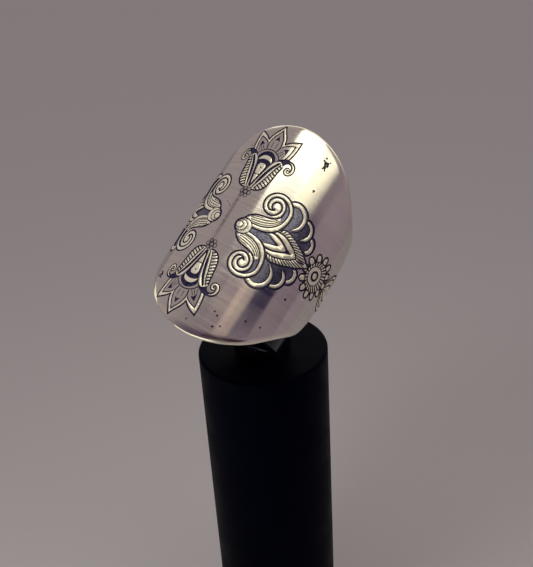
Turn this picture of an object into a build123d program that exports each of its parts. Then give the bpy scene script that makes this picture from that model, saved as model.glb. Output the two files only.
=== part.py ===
from build123d import *
from math import atan2, cos, radians, sin
import os

# A wide saddle ring held by a split tube on a round display post, in millimetres and degrees.
# The origin is the centre of the post's flat bottom, with +Z up. The post's front is towards -Y.

# Display post: a plain round rod with softened rims
post_diameter = 18.4
post_height = 60.0
post_rim_round = 0.4

# Saddle ring: sheet bent to a tube round the finger, wide over the finger and narrow behind it
finger_bore = 18.4
ring_wall = 1.2
plate_length = 30.2
shank_width = 5.2
dome_width = 1.1
dome_drop = 0.3
bore_edge_break = 0.15

# Outline of the ring's edge, one value for each section from the plate's middle to where the shank
# begins: how far the half width has gone from the half width of the shank (0) to the half length of
# the plate (1). The sections are even steps round the finger, which keeps the loft smooth.
section_step = 6
EDGE_SHARES = (
    1.000, 0.996, 0.981, 0.960, 0.931, 0.894,
    0.849, 0.798, 0.735, 0.665, 0.599, 0.538,
    0.484, 0.437, 0.381, 0.255, 0.125, 0.020,
)

# How the ring is held: its finger axis leans up to the back and right, and the plate's middle
# is turned round that axis from the highest line of the bore
finger_azimuth = 45.2
finger_tilt = 36.4
plate_turn = 23.0
ring_shift = 0.35

# Clip: a split tube inside the bore, on a round stem that stands on the middle of the post
clip_clearance = 0.15
clip_wall = 1.4
clip_front = 10.5
clip_back = 4.5
clip_split = 50.0
clip_edge_round = 0.3
clip_lift = 1.1
stem_diameter = 8.0
stem_clearance = 0.6

# The tube's front end clears the post by its lift, and that sets the height of the ring's middle
clip_outer = finger_bore / 2 - clip_clearance
lean = radians(finger_tilt)
ring_height = clip_lift + clip_outer * cos(lean) + clip_front * sin(lean)


def half_width(section):
    """Half width at a section, counted from the plate's middle; past the table it is the shank."""
    number = abs(section)
    share = EDGE_SHARES[number] if number < len(EDGE_SHARES) else 0
    return shank_width / 2 + share * (plate_length - shank_width) / 2


def ring_section(section):
    """Cross-section of the wall, a number of steps round the finger, with a domed outer edge."""
    inner = finger_bore / 2
    outer = inner + ring_wall
    half = half_width(section)
    lip = outer - dome_drop
    # The dome is an arc that leaves the outer face without a corner and ends at the lip
    dome_radius = (dome_drop**2 + dome_width**2) / (2 * dome_drop)
    half_turn = atan2(dome_width, dome_radius - dome_drop) / 2
    dome_mid_r = outer - dome_radius * (1 - cos(half_turn))
    dome_mid_v = half - dome_width + dome_radius * sin(half_turn)

    upper = [
        Line((inner, half - bore_edge_break), (inner + bore_edge_break, half)),
        Line((inner + bore_edge_break, half), (lip, half)),
        ThreePointArc((lip, half), (dome_mid_r, dome_mid_v), (outer, half - dome_width)),
    ]
    lower = [edge.mirror(Plane.XZ) for edge in upper]
    sides = [
        Line((outer, half - dome_width), (outer, dome_width - half)),
        Line((inner, bore_edge_break - half), (inner, half - bore_edge_break)),
    ]
    turn = radians(section * section_step)
    station = Plane((0, 0, 0), x_dir=(cos(turn), sin(turn), 0), z_dir=(sin(turn), -cos(turn), 0))
    return station * make_face(Wire(upper + lower + sides))


def saddle_ring():
    """One half of the ring lofted past its middle plane, trimmed there and mirrored."""
    # Two sections too many at each end let the trimmed halves meet without a kink
    half_way_round = round(180 / section_step)
    swept = loft([ring_section(section) for section in range(-2, half_way_round + 3)])
    half = split(swept, bisect_by=Plane.XZ, keep=Keep.BOTTOM)
    return half + mirror(half, about=Plane.XZ)


def ring_place():
    """Where the ring and its clip stand: local X is the plate's middle, local Z the finger axis."""
    around, turn = radians(finger_azimuth), radians(plate_turn)
    axis = Vector(cos(lean) * cos(around), cos(lean) * sin(around), sin(lean))
    up = Vector(-sin(lean) * cos(around), -sin(lean) * sin(around), cos(lean))
    side = axis.cross(up)
    middle = up * cos(turn) + side * sin(turn)
    centre = Vector(ring_shift, 0, post_height + ring_height)
    return Plane(centre, x_dir=middle, z_dir=axis), Plane(centre, x_dir=up, z_dir=axis)


def display_post():
    """The round post, with its top and bottom rims softened."""
    rod = Cylinder(post_diameter / 2, post_height, align=(Align.CENTER, Align.CENTER, Align.MIN))
    return fillet(rod.edges().filter_by(GeomType.CIRCLE), post_rim_round)


def clip_stem(upright, wall_middle):
    """The stem from the post's top into the tube's wall, cut away in front of the ring's shank."""
    stem = Pos(0, 0, post_height) * Cylinder(
        stem_diameter / 2, ring_height, align=(Align.CENTER, Align.CENTER, Align.MIN)
    )
    reach = 2 * (ring_height + stem_diameter)
    hollow = upright * Cylinder(wall_middle, reach)
    shank_front = -(shank_width / 2 + stem_clearance)
    behind = upright * Pos(0, 0, shank_front) * Box(
        reach, reach, reach, align=(Align.CENTER, Align.CENTER, Align.MIN)
    )
    return stem - hollow - behind


def ring_clip(upright):
    """The split tube inside the ring, joined to its stem."""
    wall_middle = clip_outer - clip_wall / 2
    wall = fillet(Rectangle(clip_wall, clip_front + clip_back).vertices(), clip_edge_round)
    wall = Plane.XZ * Pos(wall_middle, (clip_back - clip_front) / 2) * wall
    tube = revolve(wall, Axis.Z, 360 - clip_split)
    return upright * Rot(0, 0, clip_split / 2) * tube + clip_stem(upright, wall_middle)


def write(shapes):
    """Writes each piece to its own file and prints its volume."""
    os.makedirs("parts", exist_ok=True)
    for name, shape in shapes.items():
        shape.label = name
        export_step(shape, f"parts/{name}.step")
        print(name, round(shape.volume, 1), "mm3")


plate_frame, clip_frame = ring_place()
write(
    {
        "saddle_ring": plate_frame * saddle_ring(),
        "ring_clip": ring_clip(clip_frame),
        "display_post": display_post(),
    }
)
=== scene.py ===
"""A wide saddle ring of brushed silver with blackened etched flowers, on a round black display post.

The plate is drawn as a flat sheet in millimetres, u round the finger and v along it, and then bent
round the finger. Each etched line is a real groove: its floor is a separate level of the mesh.
"""

import logging
from dataclasses import dataclass, field
from enum import Enum
from typing import Optional, Sequence

import bpy
import numpy as np
from mathutils import Matrix, Vector
from mathutils.geometry import delaunay_2d_cdt


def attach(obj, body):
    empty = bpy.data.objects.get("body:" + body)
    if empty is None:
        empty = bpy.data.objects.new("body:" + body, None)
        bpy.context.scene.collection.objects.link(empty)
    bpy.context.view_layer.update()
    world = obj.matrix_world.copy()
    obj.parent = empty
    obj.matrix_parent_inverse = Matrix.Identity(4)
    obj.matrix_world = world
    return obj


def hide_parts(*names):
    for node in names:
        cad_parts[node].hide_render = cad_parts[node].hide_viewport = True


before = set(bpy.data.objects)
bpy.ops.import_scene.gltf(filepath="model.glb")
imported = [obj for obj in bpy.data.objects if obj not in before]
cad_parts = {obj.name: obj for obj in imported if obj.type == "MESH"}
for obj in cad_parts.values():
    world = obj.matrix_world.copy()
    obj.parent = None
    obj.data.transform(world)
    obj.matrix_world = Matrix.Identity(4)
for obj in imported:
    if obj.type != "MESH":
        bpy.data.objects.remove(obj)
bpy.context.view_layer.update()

LOG = logging.getLogger("saddle_ring")
MM = 0.001
# Millimetres on the sheet under which two places are one
SAME_PLACE = 1e-6

Array = np.ndarray
Point = tuple[float, float]
Spot = tuple[float, float, float]
Tint = tuple[float, float, float]
Colour = tuple[float, float, float, float]

# The etched attribute where a hollow is slate; it is 1 where it is black
SLATE_MARK = 0.6
# The corners of a flat sheet, in halves of its sides
QUARTERS = ((-1, -1), (1, -1), (1, 1), (-1, 1))


class Ink(Enum):
    """What a mark on the sheet stands for; bare is the plate's own silver."""

    BARE = 0
    BLACK = 1
    SILVER = 2
    SLATE = 3


class Twin(Enum):
    """How a sketch repeats each mark as its mirror image: left and right, up and down, or not at all."""

    SIDES = (-1.0, 1.0)
    HEIGHTS = (1.0, -1.0)
    ALONE = (1.0, 1.0)


def hermite(knots: Array, values: Array, at: Array) -> Array:
    """A smooth curve through values at rising knots: cubic spans that share their slopes.

    The slope at a knot is the mean of the two chords beside it, each weighted by the other's length.

    Args:
        knots: (n,) rising numbers.
        values: (n, k) what the curve passes through.
        at: (m,) where it is wanted.

    Returns:
        (m, k) values.
    """
    span = np.diff(knots)
    chord = np.diff(values, axis=0) / span[:, None]
    slope = np.concatenate([chord[:1], chord])
    weighed = chord[:-1] * span[1:, None] + chord[1:] * span[:-1, None]
    slope[1:-1] = weighed / (span[:-1] + span[1:])[:, None]
    left = np.clip(np.searchsorted(knots, at, side="right") - 1, 0, len(span) - 1)
    h = span[left][:, None]
    t = ((at - knots[left]) / span[left])[:, None]
    start, end = values[left], values[left + 1]
    line = start + (end - start) * t * t * (3 - 2 * t)
    return line + h * t * (1 - t) * (slope[left] * (1 - t) - slope[left + 1] * t)


def through(*points: Point, spacing: float = 0.11) -> Array:
    """A smooth line through a few points, sampled evenly; two points give a straight line.

    Args:
        points: the points in order, millimetres.
        spacing: distance between samples.

    Returns:
        (n, 2) samples.
    """
    knots = np.array(points, float)
    along = travelled(knots)
    count = 2 if len(knots) == 2 else max(3, int(np.ceil(along[-1] / spacing)) + 1)
    return hermite(along, knots, np.linspace(0, along[-1], count))


def travelled(path: Array) -> Array:
    """The distance travelled along a path at each of its points, from zero."""
    return np.concatenate([[0], np.cumsum(np.hypot(*np.diff(path, axis=0).T))])


def spiral(centre: Point, turns: Sequence[Point], spacing: float = 0.11) -> Array:
    """A curl: its radius follows a short table of (angle in degrees, radius) round a centre.

    Args:
        centre: the curl's centre.
        turns: rows of angle and radius, with rising angles.
        spacing: distance between samples.

    Returns:
        (n, 2) samples.
    """
    table = np.array(turns, float)
    length = np.sum(np.radians(np.diff(table[:, 0])) * (table[:-1, 1] + table[1:, 1]) / 2)
    angles = np.linspace(table[0, 0], table[-1, 0], int(np.ceil(length / spacing)) + 1)
    radius = hermite(table[:, 0], table[:, 1:], angles)[:, 0]
    turn = np.radians(angles)
    return np.column_stack([centre[0] + radius * np.cos(turn), centre[1] + radius * np.sin(turn)])


def joined(*paths: Array) -> Array:
    """Paths end to end; a point that two of them share is kept once and may be a corner.

    Args:
        paths: (n, 2) points of each path.

    Returns:
        (m, 2) points of the whole.
    """
    points = np.concatenate(paths)
    keep = np.concatenate([[True], np.hypot(*np.diff(points, axis=0).T) > SAME_PLACE])
    return points[keep]


def oval(centre: Point, half: Point, start: float = 0.0, end: float = 360.0, spacing: float = 0.12) -> Array:
    """A stretch of an upright ellipse, or the whole of it.

    Args:
        centre: its centre.
        half: half its width and half its height.
        start: the angle in degrees where the stretch begins.
        end: the angle where it ends.
        spacing: distance between samples.

    Returns:
        (n, 2) samples.
    """
    turn = np.radians(end - start)
    fewest = 7
    count = max(fewest, int(np.ceil(turn * max(half) / spacing)))
    angle = np.radians(start) + turn * np.arange(count + (end - start < 360)) / count
    return np.column_stack([centre[0] + half[0] * np.cos(angle), centre[1] + half[1] * np.sin(angle)])


def ribbon(path: Array, widths: Sequence[float], blunt: bool = False, sharpest: float = 0.42) -> Array:
    """The outline of a stroke of the graver.

    The path is moved half a width to each side along the mean normal of its two neighbouring spans,
    lengthened at corners so that they stay sharp. Both ends come to a short point unless blunt.

    Args:
        path: (n, 2) centre line.
        widths: the stroke's width at even steps along the path.
        blunt: leaves the ends square.
        sharpest: the least cosine between normals for which a corner is still lengthened.

    Returns:
        (m, 2) closed outline.
    """
    step = np.diff(path, axis=0)
    length = np.hypot(*step.T)
    normal = np.column_stack([-step[:, 1], step[:, 0]]) / length[:, None]
    after = np.concatenate([normal, normal[-1:]])
    mean = np.concatenate([normal[:1], normal]) + after
    mean /= np.maximum(np.hypot(*mean.T), 1e-9)[:, None]
    stretch = 1 / np.clip(np.sum(mean * after, axis=1), sharpest, 1)
    along = travelled(path) / length.sum()
    half = np.interp(along, np.linspace(0, 1, len(widths)), widths) / 2
    shift = mean * (stretch * half)[:, None]
    if blunt:
        return np.concatenate([path + shift, (path - shift)[::-1]])
    tail = path[-1] + step[-1] / length[-1] * half[-1]
    nose = path[0] - step[0] / length[0] * half[0]
    return np.concatenate([path + shift, [tail], (path - shift)[::-1], [nose]])


@dataclass
class Sketch:
    """A drawing made of marks laid over each other: a later mark hides what is under it."""

    twin: Twin = Twin.ALONE
    marks: list[tuple[Array, Ink]] = field(default_factory=list)

    def area(self, outline: Array, ink: Ink) -> None:
        """Adds a filled outline, and its mirror image where the sketch has one.

        Args:
            outline: (n, 2) points of the closed outline.
            ink: what it stands for.
        """
        self.marks.append((outline, ink))
        if self.twin is not Twin.ALONE:
            self.marks.append((outline * self.twin.value, ink))

    def line(self, path: Array, *widths: float, ink: Ink = Ink.BLACK, blunt: bool = False) -> None:
        """Adds a stroke along a path, with its width given at even steps."""
        self.area(ribbon(path, widths, blunt), ink)

    def disc(self, centre: Point, radius: float, ink: Ink) -> None:
        """Adds a filled circle."""
        self.area(oval(centre, (radius, radius)), ink)

    def hatch(self, inner: Array, outer: Array, count: int, width: float) -> None:
        """Adds black cross lines between two paths, at even steps along each, like a twisted cord.

        Args:
            inner: the path that the cross lines start from.
            outer: the path that they end on.
            count: how many there are.
            width: each one's width.
        """
        ends = []
        for path in (inner, outer):
            along = travelled(path)
            steps = (np.arange(count) + 0.5) / count * along[-1]
            ends.append(np.column_stack([np.interp(steps, along, path[:, axis]) for axis in (0, 1)]))
        for start, end in zip(*ends):
            self.line(np.array([start, end]), width, blunt=True)

    def add(self, other: "Sketch", move: Point = (0, 0), scale: Point = (1, 1)) -> None:
        """Lays another sketch on this one, stretched about its own zero and then moved."""
        self.marks += [(outline * np.array(scale) + np.array(move), ink) for outline, ink in other.marks]


@dataclass(frozen=True)
class Lotus:
    """An open lotus over two folded leaves, drawn upright: its foot is at v 3.4, its tip at v 14.25."""

    line: float = 0.21
    fine: float = 0.16
    rib: float = 0.09
    arch: float = 0.14
    hem_twists: int = 11
    twist_width: float = 0.18

    def sketch(self) -> Sketch:
        """Draws the whole flower, from the petals at the back to the curls in front.

        Returns:
            The drawing.
        """
        pen = Sketch(Twin.SIDES)
        self.petals(pen)
        self.heart(pen)
        self.leaves(pen)
        self.rosette(pen)
        return pen

    def petals(self, pen: Sketch) -> None:
        """Adds three double-lined petals, each with a black seed and fine ribs.

        Args:
            pen: the drawing so far.
        """
        tip, inner_tip = (3.2, 12.88), (2.7, 12.07)
        rim = through((1.28, 11.8), (1.9, 12.3), (2.5, 12.62), tip)
        rim = joined(rim, through(tip, (3.2, 12.1), (3.13, 11.2), (3.0, 10.45), (2.8, 9.8)))
        lining = through((0.95, 11.1), (1.35, 11.5), (1.9, 11.8), inner_tip)
        lining = joined(lining, through(inner_tip, (2.66, 11.3), (2.5, 10.4), (2.3, 9.7)))
        pen.area(joined(rim, lining[::-1]), Ink.SILVER)
        pen.line(rim, self.line)
        pen.line(lining, self.fine)
        seed = through((2.25, 11.42), (1.85, 11.27), (1.5, 11.02))
        pen.area(joined(seed, through((1.5, 11.02), (1.83, 10.92), (2.03, 10.45), (2.25, 11.42))), Ink.BLACK)
        ribs = (((1.15, 10.3), (1.6, 10.8)), ((1.5, 10.1), (1.8, 10.7)), ((1.85, 9.9), (1.98, 10.4)))
        for start, end in ribs:
            pen.line(through(start, end), self.rib)

        rim = through((0.0, 14.25), (0.5, 13.42), (0.88, 12.87), (1.15, 12.35), (1.28, 11.8))
        lining = through((0.0, 13.5), (0.39, 12.86), (0.69, 12.36), (0.87, 11.8), (0.96, 11.2), (0.8, 10.5))
        pen.area(joined(rim, lining[::-1]), Ink.SILVER)
        pen.line(rim, self.line)
        pen.line(lining, self.fine)
        seed = through((0.0, 12.62), (0.2, 12.2), (0.4, 11.85))
        pen.area(joined(seed, through((0.4, 11.85), (0.0, 12.02))), Ink.BLACK)
        pen.line(through((0.3, 10.8), (0.34, 11.6)), self.rib)

    def heart(self, pen: Sketch) -> None:
        """Adds the arch over the leaves, the black hollow under it, and the crescent and drop in it.

        Args:
            pen: the drawing so far.
        """
        pen.line(oval((0.0, 8.5), (2.0, 2.0), 30, 90), self.arch)
        vault = oval((0.0, 8.5), (1.5, 1.73), 24, 90)[::-1]
        wall = through(
            (1.37, 9.2), (1.15, 8.75), (0.95, 8.2), (0.78, 7.5), (0.6, 6.8), (0.38, 5.9), (0.16, 4.95),
        )
        pen.area(joined(vault, wall, np.array([(0.0, 4.9)])), Ink.BLACK)
        crescent = through((0.0, 9.6), (0.42, 9.53), (0.8, 9.28), (1.03, 8.72))
        pen.area(joined(crescent, through((1.03, 8.72), (0.65, 8.92), (0.3, 9.03), (0.0, 9.05))), Ink.SILVER)
        drop = through(
            (0.0, 8.4), (0.36, 8.33), (0.55, 8.05), (0.5, 7.6), (0.34, 6.9), (0.2, 6.2), (0.0, 5.3),
        )
        pen.area(drop, Ink.SILVER)
        pen.line(through((0.0, 6.72), (0.36, 6.8)), 0.12)
        pen.disc((0.04, 7.75), 0.1, Ink.BLACK)

    def leaves(self, pen: Sketch) -> None:
        """Adds the two folded leaves with their twisted hems, and the curls that they end in.

        Args:
            pen: the drawing so far.
        """
        fold = through(
            (0.2, 4.75), (0.45, 5.8), (0.7, 6.8), (0.9, 7.6), (1.12, 8.35), (1.42, 9.0), (1.85, 9.45),
        )
        hem = joined(
            through((0.5, 4.58), (0.98, 4.64), (1.5, 4.85), (1.86, 5.2)),
            through((1.86, 5.2), (2.1, 5.7), (2.28, 6.45), (2.41, 7.35), (2.52, 8.1), (2.66, 8.85)),
        )
        crease = through(
            (0.75, 4.85), (1.08, 5.6), (1.36, 6.4), (1.6, 7.1), (1.8, 7.8), (2.05, 8.5), (2.35, 9.05),
        )
        pen.area(joined(fold, np.array([(2.5, 9.5)]), hem[::-1]), Ink.SILVER)
        shade = through((0.42, 4.8), (0.74, 6.0), (1.0, 6.9), (1.26, 7.7), (1.6, 8.45), (2.05, 9.15))
        pen.line(shade, 0.14, 0.38, 0.4, 0.3)
        pen.line(crease, self.fine)
        pen.hatch(crease, hem[6:], self.hem_twists, self.twist_width)
        pen.line(hem, self.line)
        foot = joined(
            through((1.5, 9.2), (1.95, 9.42), (2.35, 9.25), (2.66, 8.9)),
            through((2.66, 8.9), (2.82, 9.35), (3.08, 9.56), (3.5, 9.62)),
        )
        heel = through((3.6, 9.95), (3.0, 10.12), (2.3, 9.98), (1.7, 9.6), (1.35, 9.1))
        pen.area(joined(foot, heel), Ink.BLACK)
        curl = through(
            (2.5, 9.8), (3.0, 9.84), (3.5, 9.78), (3.86, 9.5), (4.02, 9.05),
            (3.93, 8.6), (3.62, 8.32), (3.3, 8.4), (3.18, 8.7), (3.32, 8.98), (3.6, 8.92),
        )
        pen.line(curl, 0.3, 0.5, 0.58, 0.6, 0.56, 0.52, 0.5, 0.44)
        pen.line(curl[7:], 0.04, 0.14, 0.22, 0.25, 0.24, 0.21, 0.16, 0.12, ink=Ink.SILVER)

    def rosette(self, pen: Sketch) -> None:
        """Adds the small flower that ties the leaves together at their foot.

        Args:
            pen: the drawing so far.
        """
        middle, reach = 4.05, 0.56
        for turn in np.radians((-60, 0, 60)):
            berry = (reach * np.cos(turn), middle + reach * np.sin(turn))
            pen.disc(berry, 0.29, Ink.BLACK)
            pen.disc(berry, 0.2, Ink.BARE)
        pen.disc((0.0, middle), 0.32, Ink.BLACK)
        pen.disc((0.0, middle), 0.2, Ink.BARE)


@dataclass(frozen=True)
class Fan:
    """Two feathered scrolls that spring from an eye, a leaf between them and shells behind them.

    It is drawn about the line v 0, with the eye at u 2.35 and the leaf's tip at u 12.55.
    """

    line: float = 0.24
    fine: float = 0.18
    rib: float = 0.11
    first_rib: float = 0.1
    leaf_twists: int = 12
    twist_width: float = 0.14
    scroll_centre: Point = (4.7, 4.1)

    def sketch(self) -> Sketch:
        """Draws the whole fan, from the shells at the back to the eye in front.

        Returns:
            The drawing.
        """
        pen = Sketch(Twin.HEIGHTS)
        self.shells(pen)
        self.leaf(pen)
        self.scroll(pen)
        wedge = through((3.3, 0.24), (4.5, 0.33), (5.3, 0.5), (5.75, 0.62))
        point = through((5.75, 0.62), (6.3, 0.36), (6.9, 0.16), (7.35, 0.0))
        pen.area(joined(wedge, point, np.array([(3.3, 0.0)])), Ink.SLATE)
        pen.line(point, self.rib, self.line)
        pen.marks += self.eye().marks
        return pen

    def shells(self, pen: Sketch) -> None:
        """Adds three overlapping shells: slate hollows with silver rims, the smallest drawn first.

        Args:
            pen: the drawing so far.
        """
        grounds = (
            ((10.4, 3.5), (10.65, 3.5), (11.17, 3.36), (11.62, 2.9), (11.81, 2.25), (11.72, 1.62),
             (11.35, 1.15), (10.9, 0.98)),
            ((8.8, 4.95), (9.1, 5.02), (9.58, 4.95), (10.1, 4.66), (10.5, 4.12), (10.68, 3.5), (10.6, 2.88),
             (10.25, 2.36), (9.7, 2.02)),
            ((5.9, 5.55), (6.28, 5.92), (6.9, 6.13), (7.52, 6.11), (8.1, 5.88), (8.62, 5.46), (8.95, 4.94),
             (9.08, 4.3), (9.05, 3.7), (8.88, 3.15), (8.5, 2.72), (8.0, 2.4)),
        )
        backs = (
            ((8.9, 1.3), (8.9, 2.4), (9.8, 3.2)),
            ((7.6, 1.6), (7.6, 2.6), (8.4, 4.0)),
            ((6.9, 1.9), (6.5, 4.2)),
        )
        rims = (
            (((10.68, 3.24), (11.1, 3.05), (11.46, 2.6), (11.6, 2.1), (11.5, 1.6), (11.05, 1.2)),
             ((11.05, 1.2), (10.65, 1.36), (10.95, 1.65), (11.1, 2.1), (11.02, 2.55), (10.65, 2.92))),
            (((9.14, 4.8), (9.68, 4.66), (10.14, 4.25), (10.43, 3.7), (10.44, 3.15), (10.22, 2.66),
              (9.3, 2.15)),
             ((9.3, 2.15), (9.68, 2.55), (9.95, 3.0), (10.04, 3.45), (9.92, 3.92), (9.57, 4.27),
              (9.12, 4.47))),
            (((6.2, 5.62), (6.7, 5.9), (7.3, 5.95), (7.9, 5.73), (8.38, 5.33), (8.73, 4.78), (8.86, 4.2),
              (8.78, 3.58), (8.48, 3.08), (7.6, 2.48)),
             ((7.6, 2.48), (8.08, 3.03), (8.36, 3.5), (8.42, 4.1), (8.27, 4.7), (7.87, 5.16), (7.35, 5.41),
              (6.5, 5.3))),
        )
        for ground, back, (outer, inner) in zip(grounds, backs, rims):
            pen.area(joined(through(*ground), np.array(back)), Ink.SLATE)
            pen.line(through(*ground), self.fine)
            pen.area(joined(through(*outer), through(*inner)), Ink.SILVER)
            pen.line(through(*inner), self.rib)

    def leaf(self, pen: Sketch) -> None:
        """Adds the pointed leaf: a twisted border, a plain band, and a second point inside it.

        Args:
            pen: the drawing so far.
        """
        edge = through(
            (6.4, 1.5), (6.8, 1.95), (7.2, 2.16), (7.6, 2.24), (8.3, 2.09), (9.1, 1.83), (9.9, 1.47),
            (10.9, 1.0), (11.6, 0.55), (12.55, 0.0),
        )
        inside = through((6.55, 1.5), (7.5, 1.52), (8.3, 1.27), (9.1, 0.9), (9.8, 0.45), (10.3, 0.0))
        pen.area(joined(edge, np.array([(5.7, 0.0), (5.7, 0.9)])), Ink.SILVER)
        pen.hatch(inside, edge[6:-4], self.leaf_twists, self.twist_width)
        pen.line(edge, self.line)
        pen.line(inside, self.fine)
        pen.line(np.array([(10.5, 0.1), (11.6, 0.06)]), 0.1, 0.16)
        chevron = through((6.0, 1.02), (6.6, 1.01), (7.1, 0.92), (7.7, 0.68), (8.3, 0.38), (8.8, 0.12))
        pen.line(chevron, self.line)
        pen.area(joined(through((8.2, 0.46), (8.8, 0.27), (9.45, 0.0)), np.array([(8.55, 0.0)])), Ink.BLACK)

    def scroll(self, pen: Sketch) -> None:
        """Adds a feathered scroll: its body, the two lines that curl into its end, and the feathering.

        Args:
            pen: the drawing so far.
        """
        back = joined(
            through((3.2, 0.3), (4.3, 0.37), (5.0, 0.52), (5.6, 0.78), (6.2, 1.24), (6.65, 1.85),
                    (6.95, 2.55), (7.07, 3.3), (7.08, 4.1)),
            spiral(
                self.scroll_centre,
                ((0, 2.38), (45, 2.0), (90, 1.86), (150, 1.76), (210, 1.6), (260, 1.3), (310, 0.95),
                 (355, 0.78), (450, 0.63), (540, 0.52), (600, 0.5), (640, 0.36)),
            ),
        )
        front = joined(
            through((1.95, 0.95), (2.2, 1.4), (2.7, 1.88), (3.2, 2.1), (3.9, 2.25), (4.8, 2.45),
                    (5.45, 2.75), (5.85, 3.22)),
            spiral(
                self.scroll_centre,
                ((-37, 1.45), (-13, 1.31), (20, 1.25), (90, 1.25), (142, 1.21), (175, 1.11), (202, 1.06),
                 (229, 0.9), (252, 0.63), (272, 0.45)),
            ),
        )
        inner = through((3.1, 0.82), (3.6, 0.85), (4.3, 0.95), (4.9, 1.16), (5.5, 1.52), (6.0, 2.02),
                        (6.35, 2.62), (6.5, 3.2))
        turn = through((6.5, 3.2), (6.54, 3.8), (6.42, 4.35), (6.07, 4.85), (5.55, 5.22), (4.9, 5.4))
        from_centre = np.hypot(*(back - self.scroll_centre).T)
        outer_turn = back[: int(np.argmax((from_centre < 1.32) & (back[:, 0] < 4.9) & (back[:, 1] < 4.1)))]
        neck = np.array([
            (5.0, 2.9), (4.8, 2.45), (3.9, 2.25), (3.2, 2.1), (2.7, 1.88), (2.2, 1.4), (1.95, 0.95),
        ])
        pen.area(joined(outer_turn, neck), Ink.SILVER)
        hollow = through((4.9, 5.4), (5.35, 5.18), (5.73, 4.82), (5.96, 4.3), (6.02, 3.75), (5.88, 3.25),
                         (6.1, 2.85))
        pen.area(joined(turn, hollow, np.array([(6.3, 2.7)])), Ink.SLATE)
        feathers = (
            ((2.9, 1.02), (3.6, 1.06), (4.3, 1.2), (5.0, 1.5), (5.6, 1.93), (6.05, 2.42), (6.25, 2.8)),
            ((2.75, 1.25), (3.5, 1.33), (4.2, 1.47), (4.9, 1.73), (5.5, 2.12), (5.95, 2.6)),
            ((2.6, 1.5), (3.3, 1.62), (4.0, 1.76), (4.7, 1.97), (5.3, 2.3), (5.7, 2.65)),
            ((2.35, 1.5), (2.75, 1.72), (3.3, 1.88), (4.0, 2.02)),
        )
        for number, points in enumerate(feathers):
            pen.line(through(*points), self.rib if number else self.first_rib)
        pen.line(joined(inner, turn), self.fine)
        pen.line(front, self.line)
        pen.line(back, self.line)

    def eye(self) -> Sketch:
        """Draws the eye: discs in discs, each set further towards the side away from the leaf.

        Returns:
            The drawing.
        """
        pen = Sketch()
        for centre, radius, ink in (
            (2.33, 1.14, Ink.BLACK), (2.43, 0.97, Ink.SILVER), (2.08, 0.8, Ink.BLACK),
            (2.08, 0.68, Ink.SILVER), (1.85, 0.5, Ink.BLACK), (1.83, 0.38, Ink.SILVER),
        ):
            pen.disc((centre, 0.0), radius, ink)
        return pen


@dataclass(frozen=True)
class Daisy:
    """A daisy of round petals about an off-centre heart with a collar of short rays."""

    petals: int = 12
    rays: int = 24

    def sketch(self) -> Sketch:
        """Draws the daisy about its heart's centre.

        Returns:
            The drawing.
        """
        pen = Sketch()
        middle = (0.35, 0.0)
        for turn in np.arange(self.petals) * 2 * np.pi / self.petals:
            swing = np.array([(np.cos(turn), np.sin(turn)), (-np.sin(turn), np.cos(turn))])
            for centre, radii, ink in ((2.35, (0.76, 0.6), Ink.BLACK), (2.4, (0.47, 0.33), Ink.SILVER)):
                pen.area(oval((centre, 0.0), radii) @ swing + middle, ink)
        pen.disc(middle, 2.08, Ink.BLACK)
        pen.disc(middle, 1.93, Ink.SILVER)
        angles = np.arange(self.rays) * 2 * np.pi / self.rays
        spokes = np.column_stack([np.cos(angles), np.sin(angles)])
        for spoke in spokes:
            pen.line(np.array([spoke * 1.25, spoke * 1.97 + middle]), 0.15, 0.26, blunt=True)
        for radius, ink in ((1.33, Ink.BLACK), (1.19, Ink.SILVER), (0.71, Ink.BLACK), (0.4, Ink.SILVER)):
            pen.disc((0.0, 0.0), radius, ink)
        return pen


@dataclass(frozen=True)
class ShankLeaf:
    """A long leaf with a twisted border that runs from the daisy down the shank."""

    length: float = 7.4
    half_width: float = 2.7
    veins: int = 8

    def sketch(self) -> Sketch:
        """Draws the leaf from its blunt end at zero to its tip along u.

        Returns:
            The drawing.
        """
        pen = Sketch(Twin.HEIGHTS)
        shape = np.array([
            (0.0, 0.12), (0.11, 0.56), (0.25, 0.9), (0.38, 1.0), (0.52, 0.84), (0.66, 0.5), (1.0, 0.0),
        ])
        edge = through(*map(tuple, shape * (self.length, self.half_width)))
        inner = edge * (0.93, 0.76) + (0.2, 0.0)
        core = edge * (0.72, 0.4) + (0.7, 0.0)
        pen.area(joined(edge, np.array([(0.0, 0.0)])), Ink.SILVER)
        pen.line(edge, 0.27)
        pen.line(inner, 0.2)
        pen.hatch(core, inner, self.veins, 0.14)
        pen.line(core, 0.2)
        pen.line(np.array([(1.2, 0.0), (5.4, 0.0)]), 0.2, 0.1)
        return pen


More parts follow.
